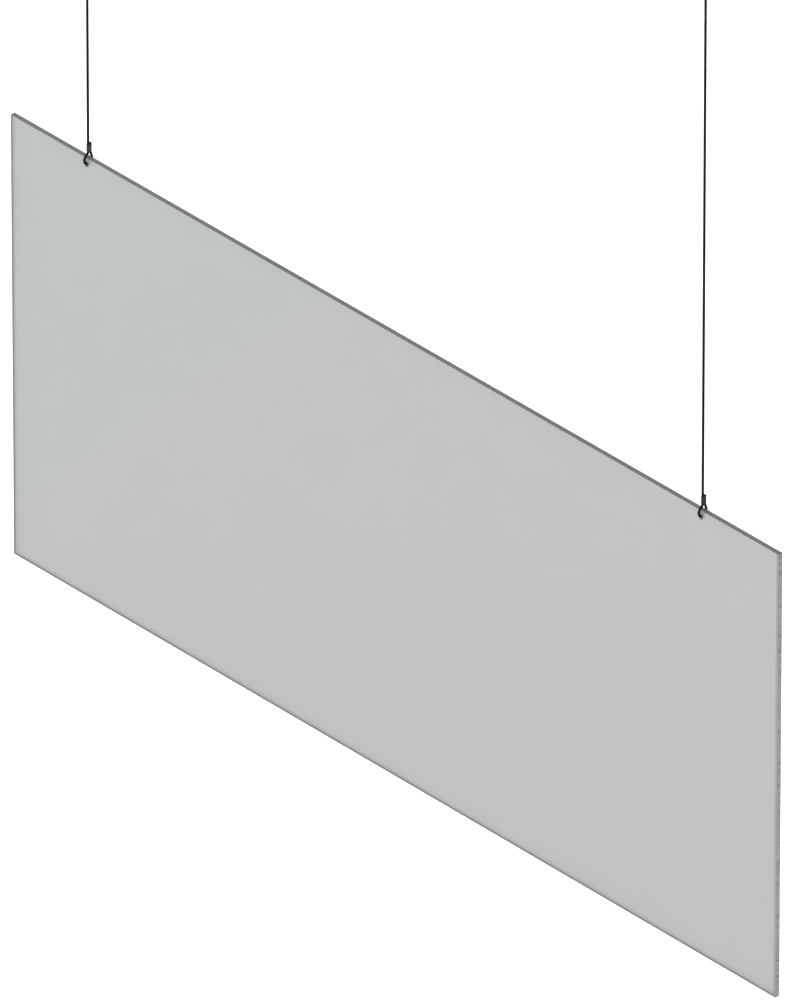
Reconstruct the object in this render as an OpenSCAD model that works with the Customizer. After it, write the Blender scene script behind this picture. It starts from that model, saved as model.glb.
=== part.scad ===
// Hanging room divider: a translucent sheet hung by two wire ropes from two ceiling fixings.
// +X runs along the sheet, -Y is its front face and +Z is up.
// The origin is in the ceiling plane, midway between the two fixings. All sizes are in millimetres.

/* [Sheet] */
// Width of the sheet between its two ends
sheet_w = 1219.2; // [600:0.1:1500]
// Height of the sheet
sheet_h = 609.6; // [300:0.1:900]
// Thickness of the sheet
sheet_t = 6.35; // [3:0.05:6.5]
// Distance from each end of the sheet to the middle of its hanging hole
hole_inset = 121.9; // [60:0.1:250]
// Distance from the top edge down to the middle of each hanging hole
hole_drop = 9.2; // [9.2:0.1:9.8]
// Diameter of each hanging hole
hole_d = 7; // [6:0.1:7]

/* [Wire rope] */
// Diameter of the wire rope
rope_d = 3; // [2:0.1:3]
// Free length of rope between the release button and the ferrule
rope_len = 694; // [300:1:1500]

/* [Ferrule] */
// Length of the ferrule
ferrule_len = 10; // [7:0.1:10]
// Wall of the ferrule around the two strands
ferrule_wall = 0.45; // [0.3:0.05:1]

/* [Ceiling plate and stud] */
// Diameter of the plate that lies on the ceiling
plate_d = 24; // [20:0.5:60]
// Thickness of the plate
plate_t = 3; // [2:0.1:8]
// Diameter of the threaded spigot below the plate
spigot_d = 14; // [13:0.1:15]
// Height of the threaded spigot
spigot_h = 6; // [4:0.1:12]
// Diameter of the machine thread that holds the plate on its stud
stud_foot_d = 5; // [4.9:0.1:8]
// Diameter of the stud's plain shank above the ceiling plane
stud_shank_d = 4.5; // [4:0.1:4.6]
// Length of the stud's plain shank
stud_shank_len = 8; // [4:0.5:20]
// Outer diameter of the stud's wood thread
stud_thread_d = 5; // [4.6:0.1:6]
// Length of the stud's wood thread
stud_thread_len = 22; // [10:0.5:60]

/* [Cap] */
// Outer diameter of the cap
cap_d = 20; // [18:0.5:24]
// Diameter of the opening that the ball sits in
cap_mouth_d = 9.4; // [9:0.1:10.5]
// Gap between the cap and the plate
cap_gap = 0.3; // [0.1:0.1:1]
// Free height between the spigot and the ball
ball_room = 2; // [0.5:0.1:4]

/* [Gripper] */
// Diameter of the ball that swivels in the cap
ball_d = 12; // [11.5:0.1:12]
// Diameter of the neck below the ball
neck_d = 5.6; // [4:0.1:5.6]
// Distance from the middle of the ball down to the gripper's shoulder
shoulder_drop = 10; // [9.5:0.1:16]
// Outer diameter of the gripper
gripper_d = 14; // [13.5:0.1:16]
// Solid height above the window where the rope's tail comes out
window_roof = 2; // [1.5:0.1:6]
// Height of the window
window_h = 10.5; // [10:0.1:16]
// Solid height below the window
window_floor = 1.5; // [1:0.1:3]
// Height of the thread that joins the gripper's head to its barrel
joint_thread_h = 5; // [3:0.1:7]
// Length of the barrel
barrel_len = 28; // [26:0.5:40]
// Bore of the barrel around the spring
barrel_bore_d = 10.4; // [10:0.1:11.4]
// Small end of the cone that wedges the balls
cone_end_d = 8; // [7.8:0.1:8.4]
// Half angle of the cone, in degrees
cone_angle = 8; // [7:0.5:10]
// Height of the barrel's straight mouth
mouth_h = 3; // [2:0.1:5]

/* [Release plunger] */
// Outer diameter of the plunger's tube
tube_d = 7; // [6.6:0.1:7.2]
// Diameter of the button
button_d = 10; // [8:0.1:16]
// Thickness of the button
button_t = 2; // [1.5:0.1:5]
// Free travel of the button below the barrel
button_gap = 3; // [2.6:0.1:4]
// Thickness of the collar that the spring pushes on
collar_t = 1.4; // [0.8:0.1:2]
// Height of the tube above the collar
tube_top = 5; // [2:0.1:6]
// Diameter of each gripping ball
grip_ball_d = 3; // [2.6:0.1:3]
// Number of gripping balls
grip_balls = 3; // [2:1:4]

/* [Spring] */
// Diameter of the spring's wire
spring_wire_d = 0.7; // [0.4:0.05:0.8]
// Number of turns of the spring
spring_turns = 5; // [3:1:7]

/* [Fits] */
// Radial play between the rope and what it passes through
rope_play = 0.1; // [0.05:0.05:0.3]
// Radial play in the threads
thread_play = 0.1; // [0.05:0.05:0.2]
// Radial play between the ball and its seat
ball_play = 0.2; // [0.1:0.05:0.3]
// Radial play between sliding parts
slide_play = 0.2; // [0.1:0.05:0.3]
// Play around each gripping ball
grip_play = 0.1; // [0.05:0.01:0.15]
// Gap left where one length of rope bends against the next
flex_gap = 0.3; // [0.1:0.05:0.5]

/* [Hidden] */

$fn = 48;
// Extra length of a cut past the face that it opens
past = 1;
// Depth that one shape of a piece sinks into the next
sunk = 0.5;
// Bevel on the fittings' outer edges
edge_break = 0.6;
rope_colour = [0.2, 0.2, 0.2];
// Number of sides of a swept rope and of the spring's wire
rope_sides = 8;
wire_sides = 6;
// Points in each turn of the spring
turn_steps = 20;
// Distance between the rings of the straight rope, in rope diameters
ring_step = 3;
// Angles at which the rounded ends of the straight rope have their rings
end_angles = [25, 50, 75];

// The two fixings stand over the sheet's two hanging holes.
right_x = sheet_w / 2 - hole_inset;
left_x = -right_x;

// Heights of the ceiling plate and the cap
spigot_bottom_z = -plate_t - spigot_h;
cap_top_z = -plate_t - cap_gap;
ball_z = spigot_bottom_z - ball_room - ball_d / 2;
seat_r = ball_d / 2 + ball_play;
seat_end_z = ball_z - sqrt(pow(seat_r, 2) - pow(cap_mouth_d / 2, 2));
cap_bottom_z = ball_z - ball_d / 2;
cap_flare_h = seat_end_z - cap_bottom_z;
cap_flare = 0.6;
cap_rim = 1;

// Wood thread of the stud: its crest and its end are shares of the pitch.
stud_thread_pitch = 2;
stud_thread_depth = 0.8;
stud_crest = 0.4;
stud_ridge_end = 0.8;
stud_core_r = stud_thread_d / 2 - stud_thread_depth;
stud_point_len = 4;

// Heights of the gripper
shoulder_z = ball_z - shoulder_drop;
window_top_z = shoulder_z - window_roof;
window_bottom_z = window_top_z - window_h;
barrel_top_z = window_bottom_z - window_floor;
joint_end_z = barrel_top_z - joint_thread_h;
barrel_bottom_z = barrel_top_z - barrel_len;
cone_end_z = barrel_bottom_z + mouth_h;
cone_top_z = cone_end_z + (barrel_bore_d - cone_end_d) / 2 / tan(cone_angle);
window_play = 0.8;
window_w = rope_d + 2 * window_play;
head_bore_play = 0.7;
head_bore_d = rope_d + 2 * head_bore_play;
joint_thread_r = barrel_bore_d / 2 - thread_play;

// The plunger: its collar stops just above the cone, and its balls lie in the cone.
tube_bore_play = 0.2;
tube_bore_r = rope_d / 2 + rope_play + tube_bore_play;
tube_mouth_flare = 0.5;
collar_play = 0.3;
collar_r = barrel_bore_d / 2 - collar_play;
collar_bottom_z = cone_top_z + slide_play;
collar_top_z = collar_bottom_z + collar_t;
tube_top_z = collar_top_z + tube_top;
button_top_z = barrel_bottom_z - button_gap;
button_bottom_z = button_top_z - button_t;
ball_window_play = 0.15;
grip_ball_r = grip_ball_d / 2;
grip_circle_r = rope_d / 2 + grip_play + grip_ball_r;
cone_wall_r = grip_circle_r + (grip_ball_r + grip_play) / cos(cone_angle);
grip_z = cone_end_z + (cone_wall_r - cone_end_d / 2) / tan(cone_angle);

// The spring sits between the collar and the head, around the tube.
spring_play = 0.15;
spring_r = (tube_d + barrel_bore_d) / 4;
spring_bottom_z = collar_top_z + spring_play + spring_wire_d / 2;
spring_top_z = joint_end_z - spring_play - spring_wire_d / 2;

// The rope bends at a point just inside the button and at one just inside the ferrule.
flex_in = 1;
upper_flex_z = button_bottom_z + flex_in;
lower_flex_z = upper_flex_z - rope_len;

// Route of the rope's tail as [y, z], with z counted from the window's sill.
// It runs up the middle of the gripper, turns and comes out of the window.
tail_bend = [
    [0, -26], [0, -20], [0, -14], [0, -8], [0, -2.5],
    [0.3, 0], [1.3, 2.5], [2.9, 4.6], [5, 6.2], [7.4, 7.2],
    [10.3, 8], [15.1, 9.3], [20, 10.6], [25, 11.9]
];
tail_start_z = upper_flex_z + rope_d / 2 + flex_gap;

// Route of the rope's loop as [y, z], with z counted from the sheet's top edge.
// It leaves the ferrule, goes down the front, through the hole and up the back to the ferrule.
loop_route = [
    [0, 15], [0, 12.5], [0, 10], [0, 8.4],
    [-0.1, 6.8], [-0.6, 5.2], [-1.4, 4.1], [-2.8, 2.7], [-4.3, 1.2], [-5.2, 0], [-5.8, -1.45],
    [-6, -3], [-5.8, -4.55], [-5.2, -6], [-4.25, -7.25], [-3, -8.2], [-1.55, -8.8],
    [0, -9],
    [1.55, -8.8], [3, -8.2], [4.25, -7.25], [5.2, -6], [5.8, -4.55], [6, -3],
    [5.7, -1.05], [5, 0.9], [4.25, 3.1], [3.5, 5.3], [3.2, 6.7],
    [3.1, 8.4], [3.1, 10], [3.1, 12.5], [3.1, 15], [3.1, 18]
];
loop_start = loop_route[0][1];
strand_pitch = loop_route[len(loop_route) - 1][0];
sheet_top_z = lower_flex_z - loop_start - flex_gap - rope_d / 2;

// The ferrule's rim stands a little over the point where the rope bends.
ferrule_rim = 0.6;
ferrule_flare = 0.15;
ferrule_flare_h = 1;
ferrule_top_z = lower_flex_z + ferrule_rim;

// Unit vector along v
function unit(v) = v / norm(v);

// Direction of a route at its point i, from the points on both sides
function heading(route, i) =
    unit(route[min(i + 1, len(route) - 1)] - route[max(i - 1, 0)]);

// Ring of points around p, square to the direction d. The ring starts on the side s.
function ring(p, d, s, r, sides) =
    let (a = unit(cross(d, s)), b = cross(a, d))
    [for (k = [0 : sides - 1]) p + r * (b * cos(360 * k / sides) + a * sin(360 * k / sides))];

// Faces of a closed tube with the given number of rings
function tube_faces(rings, sides) = concat(
    [[for (k = [0 : sides - 1]) k]],
    [for (i = [0 : rings - 2], k = [0 : sides - 1])
        let (here = i * sides, next = (i + 1) * sides, beside = (k + 1) % sides)
        [here + k, next + k, next + beside, here + beside]],
    [[for (k = [sides - 1 : -1 : 0]) (rings - 1) * sides + k]]
);

// Tube of radius r along a route of [x, y, z] points
module swept_tube(route, r, sides, side = [1, 0, 0]) {
    rings = [for (i = [0 : len(route) - 1]) ring(route[i], heading(route, i), side, r, sides)];
    polyhedron([for (one = rings) each one], tube_faces(len(route), sides), convexity = 6);
}

// Puts a piece at one of the two fixings
module at_fixing(x) {
    translate([x, 0, 0]) children();
}

// The sheet
module sheet() {
    color([0.76, 0.77, 0.765, 0.6])
    translate([0, sheet_t / 2, sheet_top_z])
    rotate([90, 0, 0])
    linear_extrude(sheet_t)
    difference() {
        translate([-sheet_w / 2, -sheet_h]) square([sheet_w, sheet_h]);
        for (x = [left_x, right_x])
            translate([x, -hole_drop]) circle(d = hole_d);
    }
}

// Plate on the ceiling with its threaded spigot
module ceiling_plate() {
    color("silver")
    difference() {
        rotate_extrude()
        polygon([
            [0, 0], [plate_d / 2, 0],
            [plate_d / 2, edge_break - plate_t], [plate_d / 2 - edge_break, -plate_t],
            [spigot_d / 2, -plate_t], [spigot_d / 2, spigot_bottom_z + edge_break],
            [spigot_d / 2 - edge_break, spigot_bottom_z], [0, spigot_bottom_z]
        ]);
        translate([0, 0, spigot_bottom_z - past])
            cylinder(d = stud_foot_d + 2 * thread_play, h = plate_t + spigot_h + 2 * past);
    }
}

// Stud that goes up into the ceiling: machine thread, plain shank and pointed wood thread
module ceiling_stud() {
    thread_turns = floor(stud_thread_len / stud_thread_pitch);
    thread_start_z = stud_shank_len;
    ridges = [for (i = [0 : thread_turns - 1]) each [
        [stud_core_r, thread_start_z + i * stud_thread_pitch],
        [stud_thread_d / 2, thread_start_z + (i + stud_crest) * stud_thread_pitch],
        [stud_core_r, thread_start_z + (i + stud_ridge_end) * stud_thread_pitch]
    ]];
    core_end_z = thread_start_z + thread_turns * stud_thread_pitch;
    color("lightgray")
    rotate_extrude()
    polygon(concat(
        [[0, spigot_bottom_z + edge_break], [stud_foot_d / 2, spigot_bottom_z + edge_break],
         [stud_foot_d / 2, 0], [stud_shank_d / 2, 0], [stud_shank_d / 2, thread_start_z]],
        ridges,
        [[stud_core_r, core_end_z], [0, core_end_z + stud_point_len]]
    ));
}

// Cap that screws on the spigot and carries the ball in a round seat
module ceiling_cap() {
    color("silver")
    difference() {
        rotate_extrude()
        polygon([
            [0, cap_top_z], [cap_d / 2, cap_top_z], [cap_d / 2, cap_bottom_z + cap_rim],
            [cap_d / 2 - cap_rim, cap_bottom_z], [0, cap_bottom_z]
        ]);
        translate([0, 0, spigot_bottom_z - cap_gap])
            cylinder(d = spigot_d + 2 * thread_play, h = spigot_h + past);
        translate([0, 0, ball_z])
            cylinder(r = seat_r, h = spigot_bottom_z - ball_z);
        translate([0, 0, ball_z]) sphere(r = seat_r);
        translate([0, 0, cap_bottom_z - past])
            cylinder(r1 = cap_mouth_d / 2 + cap_flare * (1 + past / cap_flare_h), r2 = cap_mouth_d / 2,
                     h = cap_flare_h + past);
    }
}

// Head of the gripper: ball, neck, block with the window, and the thread that holds the barrel
module gripper_head() {
    color("silver")
    difference() {
        union() {
            translate([0, 0, ball_z]) sphere(d = ball_d);
            translate([0, 0, shoulder_z - sunk])
                cylinder(d = neck_d, h = ball_z - shoulder_z + sunk);
            rotate_extrude()
            polygon([
                [0, shoulder_z], [gripper_d / 2 - edge_break, shoulder_z],
                [gripper_d / 2, shoulder_z - edge_break], [gripper_d / 2, barrel_top_z],
                [joint_thread_r, barrel_top_z], [joint_thread_r, joint_end_z], [0, joint_end_z]
            ]);
        }
        translate([-window_w / 2, -window_w / 2, window_bottom_z])
            cube([window_w, gripper_d, window_h]);
        translate([0, 0, joint_end_z - past])
            cylinder(d = head_bore_d, h = window_bottom_z - joint_end_z + 2 * past);
    }
}

// Barrel of the gripper: a bore for the spring, the cone for the balls and a straight mouth
module gripper_barrel() {
    color("silver")
    rotate_extrude()
    polygon([
        [barrel_bore_d / 2, barrel_top_z], [gripper_d / 2, barrel_top_z],
        [gripper_d / 2, barrel_bottom_z + edge_break],
        [gripper_d / 2 - edge_break, barrel_bottom_z],
        [tube_d / 2 + slide_play, barrel_bottom_z], [tube_d / 2 + slide_play, cone_end_z],
        [cone_end_d / 2, cone_end_z], [barrel_bore_d / 2, cone_top_z]
    ]);
}

// Plunger that frees the rope when its button is pushed up
module release_plunger() {
    color("gainsboro")
    difference() {
        rotate_extrude()
        polygon([
            [tube_bore_r, tube_top_z], [tube_d / 2, tube_top_z], [tube_d / 2, collar_top_z],
            [collar_r, collar_top_z], [collar_r, collar_bottom_z], [tube_d / 2, collar_bottom_z],
            [tube_d / 2, button_top_z], [button_d / 2 - edge_break, button_top_z],
            [button_d / 2, button_top_z - edge_break], [button_d / 2, button_bottom_z + edge_break],
            [button_d / 2 - edge_break, button_bottom_z],
            [tube_bore_r + tube_mouth_flare, button_bottom_z],
            [tube_bore_r, button_bottom_z + 2 * flex_in]
        ]);
        for (i = [0 : grip_balls - 1])
            rotate([0, 0, 360 * i / grip_balls])
            translate([0, 0, grip_z])
            rotate([0, 90, 0])
                cylinder(r = grip_ball_r + ball_window_play, h = tube_d);
    }
}

// Spring that pushes the plunger down
module plunger_spring() {
    steps = spring_turns * turn_steps;
    rise = (spring_top_z - spring_bottom_z) / steps;
    coil = [for (i = [0 : steps])
        let (a = 360 * i / turn_steps)
        [spring_r * cos(a), spring_r * sin(a), spring_bottom_z + rise * i]];
    color("gray") swept_tube(coil, spring_wire_d / 2, wire_sides, [0, 0, 1]);
}

// Balls that the cone presses on the rope
module gripping_balls() {
    color("gainsboro")
    for (i = [0 : grip_balls - 1])
        rotate([0, 0, 360 * i / grip_balls])
        translate([grip_circle_r, 0, grip_z])
            sphere(r = grip_ball_r);
}

// End of the rope above the gripping balls
module rope_tail() {
    route = concat([[0, 0, tail_start_z]], [for (p = tail_bend) [0, p[0], window_bottom_z + p[1]]]);
    color(rope_colour) swept_tube(route, rope_d / 2, rope_sides);
}

// Straight rope with rounded ends, which turn in the button and in the ferrule
module hanging_rope() {
    r = rope_d / 2;
    rings = ceil(rope_len / (ring_step * rope_d));
    last = len(end_angles) - 1;
    levels = concat(
        [for (i = [last : -1 : 0]) [r * cos(end_angles[i]), lower_flex_z - r * sin(end_angles[i])]],
        [for (i = [0 : rings]) [r, lower_flex_z + rope_len * i / rings]],
        [for (a = end_angles) [r * cos(a), upper_flex_z + r * sin(a)]]
    );
    points = [for (l = levels) each ring([0, 0, l[1]], [0, 0, 1], [1, 0, 0], l[0], rope_sides)];
    color(rope_colour) polyhedron(points, tube_faces(len(levels), rope_sides), convexity = 2);
}

// Ferrule pressed around the rope and its returning end
module ferrule() {
    bore_r = rope_d / 2 + rope_play;
    outer_r = bore_r + ferrule_wall;
    color("dimgray")
    translate([0, 0, ferrule_top_z - ferrule_len])
    difference() {
        linear_extrude(ferrule_len)
        union() {
            for (y = [0, strand_pitch]) translate([0, y]) circle(r = outer_r);
            translate([-outer_r, 0]) square([2 * outer_r, strand_pitch]);
        }
        for (y = [0, strand_pitch])
            translate([0, y, -past]) cylinder(r = bore_r, h = ferrule_len + 2 * past);
        translate([0, 0, ferrule_len - ferrule_flare_h])
            cylinder(r1 = bore_r, r2 = bore_r + 2 * ferrule_flare, h = 2 * ferrule_flare_h);
    }
}

// Loop of rope that goes through the hanging hole
module rope_loop() {
    route = [for (p = loop_route) [0, p[0], sheet_top_z + p[1]]];
    color(rope_colour) swept_tube(route, rope_d / 2, rope_sides);
}

sheet();
at_fixing(left_x) ceiling_plate();  // ceiling_plate_left
at_fixing(right_x) ceiling_plate();  // ceiling_plate_right
at_fixing(left_x) ceiling_stud();  // ceiling_stud_left
at_fixing(right_x) ceiling_stud();  // ceiling_stud_right
at_fixing(left_x) ceiling_cap();  // ceiling_cap_left
at_fixing(right_x) ceiling_cap();  // ceiling_cap_right
at_fixing(left_x) gripper_head();  // gripper_head_left
at_fixing(right_x) gripper_head();  // gripper_head_right
at_fixing(left_x) gripper_barrel();  // gripper_barrel_left
at_fixing(right_x) gripper_barrel();  // gripper_barrel_right
at_fixing(left_x) release_plunger();  // release_plunger_left
at_fixing(right_x) release_plunger();  // release_plunger_right
at_fixing(left_x) plunger_spring();  // plunger_spring_left
at_fixing(right_x) plunger_spring();  // plunger_spring_right
at_fixing(left_x) gripping_balls();  // gripping_balls_left
at_fixing(right_x) gripping_balls();  // gripping_balls_right
at_fixing(left_x) rope_tail();  // rope_tail_left
at_fixing(right_x) rope_tail();  // rope_tail_right
at_fixing(left_x) hanging_rope();  // hanging_rope_left
at_fixing(right_x) hanging_rope();  // hanging_rope_right
at_fixing(left_x) ferrule();  // ferrule_left
at_fixing(right_x) ferrule();  // ferrule_right
at_fixing(left_x) rope_loop();  // rope_loop_left
at_fixing(right_x) rope_loop();  // rope_loop_right
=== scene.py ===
"""Hanging room divider: a translucent sheet on two wire ropes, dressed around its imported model.

Sizes are written in millimetres and put into the meshes in metres, in the model's own frame:
+X runs along the sheet, -Y is its front, +Z is up and the ceiling plane is Z = 0.
"""

import math

import bmesh
import bpy
import numpy as np
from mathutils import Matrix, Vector


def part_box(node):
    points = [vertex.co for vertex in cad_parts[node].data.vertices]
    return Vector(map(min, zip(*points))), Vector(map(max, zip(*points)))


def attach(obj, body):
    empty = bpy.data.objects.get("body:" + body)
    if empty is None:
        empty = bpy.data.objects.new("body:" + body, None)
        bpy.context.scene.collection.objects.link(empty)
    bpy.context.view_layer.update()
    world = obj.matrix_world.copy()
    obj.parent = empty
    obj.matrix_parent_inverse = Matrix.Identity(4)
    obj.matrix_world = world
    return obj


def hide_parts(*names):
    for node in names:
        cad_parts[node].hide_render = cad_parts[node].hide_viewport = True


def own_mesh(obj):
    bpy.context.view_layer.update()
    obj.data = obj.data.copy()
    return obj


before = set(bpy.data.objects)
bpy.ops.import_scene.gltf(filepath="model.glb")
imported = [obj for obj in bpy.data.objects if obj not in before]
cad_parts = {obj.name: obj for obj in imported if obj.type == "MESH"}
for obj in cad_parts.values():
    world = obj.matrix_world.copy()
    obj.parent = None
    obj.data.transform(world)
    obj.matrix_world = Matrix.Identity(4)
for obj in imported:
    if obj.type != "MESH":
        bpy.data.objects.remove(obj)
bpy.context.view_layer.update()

MM = 0.001
TAU = 2 * math.pi
SIDES = ("left", "right")

# ---------------------------------------------------------------------------
# Places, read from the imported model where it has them
# ---------------------------------------------------------------------------

sheet_low, sheet_high = (np.array(corner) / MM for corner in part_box("sheet"))
SHEET_TOP = sheet_high[2]
SHEET_T = sheet_high[1] - sheet_low[1]
HOLE_DROP, HOLE_R = 9.2, 3.5               # middle of a hanging hole below the top edge, its radius
ROPE_D = 3.0
ROPE_X = {side: sum(corner[0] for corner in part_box(f"hanging_rope_{side}")) / 2 / MM
          for side in SIDES}
UPPER_FLEX, LOWER_FLEX = -73.0, -767.0     # heights of the two points where a rope bends
WINDOW_SILL = -39.5                        # lower edge of the gripper's window
FERRULE_TOP, FERRULE_LEN = -766.4, 10.0
STRAND_PITCH = 3.1                         # between the two strands in a ferrule

# Tail of the rope as [y, z], z counted from the sill of the gripper's window
TAIL_BEND = [
    [0, -31.7], [0, -26], [0, -20], [0, -14], [0, -8], [0, -2.5],
    [0.3, 0], [1.3, 2.5], [2.9, 4.6], [5, 6.2], [7.4, 7.2],
    [10.3, 8], [15.1, 9.3], [20, 10.6], [25, 11.9],
]
# Loop of the rope as [y, z], z counted from the sheet's top edge
LOOP_ROUTE = [
    [0, 15], [0, 12.5], [0, 10], [0, 8.4],
    [-0.1, 6.8], [-0.6, 5.2], [-1.4, 4.1], [-2.8, 2.7], [-4.3, 1.2], [-5.2, 0], [-5.8, -1.45],
    [-6, -3], [-5.8, -4.55], [-5.2, -6], [-4.25, -7.25], [-3, -8.2], [-1.55, -8.8],
    [0, -9],
    [1.55, -8.8], [3, -8.2], [4.25, -7.25], [5.2, -6], [5.8, -4.55], [6, -3],
    [5.7, -1.05], [5, 0.9], [4.25, 3.1], [3.5, 5.3], [3.2, 6.7],
    [3.1, 8.4], [3.1, 10], [3.1, 12.5], [3.1, 15], [3.1, 18],
]


def in_scene(name, data):
    """New object in the scene."""
    thing = bpy.data.objects.new(name, data)
    bpy.context.scene.collection.objects.link(thing)
    return thing


def turn_to(thing, direction, axis):
    """Turns a camera or lamp so that its axis lies along the direction."""
    thing.rotation_mode = "QUATERNION"
    thing.rotation_quaternion = direction.to_track_quat(axis, "Y")


# ---------------------------------------------------------------------------
# Camera: the photograph's isometric view, taken with a very long lens
# ---------------------------------------------------------------------------

VIEW_AZIMUTH, VIEW_ELEVATION = math.radians(45), math.radians(35.264)
VIEW_LENS, VIEW_SENSOR = 1300, 36
VIEW_DISTANCE = 40.8658
VIEW_NEAR, VIEW_FAR = 1, 200
VIEW_RIGHT, VIEW_UP = 0.007556, 0.05763    # aim point from the sheet's middle, in metres

back = Vector((math.sin(VIEW_AZIMUTH) * math.cos(VIEW_ELEVATION),
               -math.cos(VIEW_AZIMUTH) * math.cos(VIEW_ELEVATION),
               math.sin(VIEW_ELEVATION)))
to_right = Vector((math.cos(VIEW_AZIMUTH), math.sin(VIEW_AZIMUTH), 0))
to_top = back.cross(to_right)
sheet_middle = Vector((sheet_low + sheet_high) / 2 * MM)
camera_data = bpy.data.cameras.new("camera")
camera_data.lens, camera_data.sensor_width = VIEW_LENS, VIEW_SENSOR
camera_data.clip_start, camera_data.clip_end = VIEW_NEAR, VIEW_FAR
camera = in_scene("camera", camera_data)
camera.location = sheet_middle + to_right * VIEW_RIGHT + to_top * VIEW_UP + back * VIEW_DISTANCE
turn_to(camera, -back, "-Z")
bpy.context.scene.camera = camera


# ---------------------------------------------------------------------------
# Surfaces worked out as whole arrays
# ---------------------------------------------------------------------------

MERGE, COLLAPSED = 1e-6, 1e-7    # points closer than this are one, and edges shorter go, in metres
SAME_R = 1e-6                    # radii that differ by less than this are equal
CUT_SHARE = 0.4                  # largest share of a side that a rounded corner takes


def grid_faces(rows, columns, round_wrap=True, row_wrap=False):
    """Quads of a grid of rows x columns points, numbered row by row.
    A wrap joins the last line to the first."""
    i = np.arange(rows if row_wrap else rows - 1)[:, None]
    k = np.arange(columns if round_wrap else columns - 1)[None, :]
    here, there = i * columns, (i + 1) % rows * columns
    side = (k + 1) % columns
    corners = np.broadcast_arrays(here + k, there + k, there + side, here + side)
    return np.stack(corners, -1).reshape(-1, 4)


def closed_tube(rings, ends):
    """Points and faces of a tube: its rings, an array of rows x points x 3, with quads between
    them and a fan of triangles to each of the two end points."""
    rows, around = rings.shape[:2]
    k = np.arange(around)
    last = (rows - 1) * around
    first_fan = np.stack([k, (k + 1) % around, np.full(around, rows * around)], -1)
    last_fan = np.stack([last + (k + 1) % around, last + k,
                         np.full(around, rows * around + 1)], -1)
    points = np.concatenate([rings.reshape(-1, 3), ends])
    return points, [*grid_faces(rows, around).tolist(), *first_fan.tolist(), *last_fan.tolist()]


def unit_tangents(points):
    """Unit direction of a route at each of its points, from the differences of its neighbours."""
    along = np.gradient(points, axis=0)
    return along / np.linalg.norm(along, axis=1)[:, None]


def given_place(piece, body, stands_for):
    """The piece on its body, in place of a node."""
    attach(piece, body)
    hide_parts(stands_for)
    return piece


def new_piece(name, points, faces, body, slot, stands_for, sharp=35, corner_uv=None):
    """Mesh object from points in millimetres. Doubles are merged, normals turned outwards and
    smoothed up to the angle sharp."""
    mesh = bpy.data.meshes.new(name)
    mesh.from_pydata((np.asarray(points, float) * MM).tolist(), [],
                     [list(map(int, face)) for face in faces])
    if corner_uv is not None:
        layer = mesh.uv_layers.new(name="lay")
        layer.data.foreach_set("uv", np.asarray(corner_uv, np.float32).ravel())
    shape = bmesh.new()
    shape.from_mesh(mesh)
    bmesh.ops.remove_doubles(shape, verts=shape.verts, dist=MERGE)
    bmesh.ops.dissolve_degenerate(shape, edges=shape.edges, dist=COLLAPSED)
    bmesh.ops.recalc_face_normals(shape, faces=shape.faces)
    shape.to_mesh(mesh)
    shape.free()
    mesh.shade_smooth()
    mesh.set_sharp_from_angle(angle=math.radians(sharp))
    return given_place(in_scene(name, mesh), body, stands_for)


def eased(profile, radius):
    """Closed profile with each corner cut back by radius, or by a share of its shorter side, and
    rounded over three points. A new point is the corner moved along a side; the middle one is the
    quadratic blend of the two and the corner."""
    p = np.asarray(profile, float)
    before, after = np.roll(p, 1, 0) - p, np.roll(p, -1, 0) - p
    reach_b, reach_a = np.linalg.norm(before, axis=1), np.linalg.norm(after, axis=1)
    cut = np.minimum(radius, CUT_SHARE * np.minimum(reach_b, reach_a))[:, None]
    a = p + before / reach_b[:, None] * cut
    b = p + after / reach_a[:, None] * cut
    middle = (a + 2 * p + b) / 4
    return np.stack([a, middle, b], 1).reshape(-1, 2)


def turned(profile, around, x, ripple=None):
    """Surface of revolution about the vertical line at x: closed profile points [r, z] turned
    through a full circle. ripple(angle, r, z) is added to the radius. Returns points and faces."""
    p = np.asarray(profile, float)
    angle = np.arange(around) * TAU / around
    r = np.repeat(p[:, :1], around, 1)
    z = np.repeat(p[:, 1:], around, 1)
    a = np.broadcast_to(angle, r.shape)
    if ripple is not None:
        r = r + ripple(a, r, z)
    points = np.stack([x + r * np.cos(a), r * np.sin(a), z], -1).reshape(-1, 3)
    return points, grid_faces(len(p), around, row_wrap=True)


ROUTE_PARTS = 24         # straight parts that stand for the curve between two points of a route
ROUTE_STEP = 0.6         # distance between two rings of a bent rope


def smooth_route(route):
    """Catmull-Rom curve through the route's points, resampled at equal steps of length along it.
    Returns the points and the length up to each."""
    p = np.asarray(route, float)
    padded = np.concatenate([[2 * p[0] - p[1]], p, [2 * p[-1] - p[-2]]])
    t = np.linspace(0, 1, ROUTE_PARTS, endpoint=False)[None, :, None]
    p0, p1, p2, p3 = (padded[i:len(padded) - 3 + i, None, :] for i in range(4))
    fine = 0.5 * (2 * p1 + (p2 - p0) * t + (2 * p0 - 5 * p1 + 4 * p2 - p3) * t ** 2
                  + (3 * p1 - p0 - 3 * p2 + p3) * t ** 3)
    fine = np.concatenate([fine.reshape(-1, p.shape[1]), p[-1:]])
    steps = np.linalg.norm(np.diff(fine, axis=0), axis=1)
    length = np.concatenate([[0], np.cumsum(steps)])
    at = np.linspace(0, length[-1], max(2, int(round(length[-1] / ROUTE_STEP)) + 1))
    return np.stack([np.interp(at, length, fine[:, c]) for c in range(p.shape[1])], -1), at


# ---------------------------------------------------------------------------
# The wire ropes come first
# ---------------------------------------------------------------------------

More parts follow.
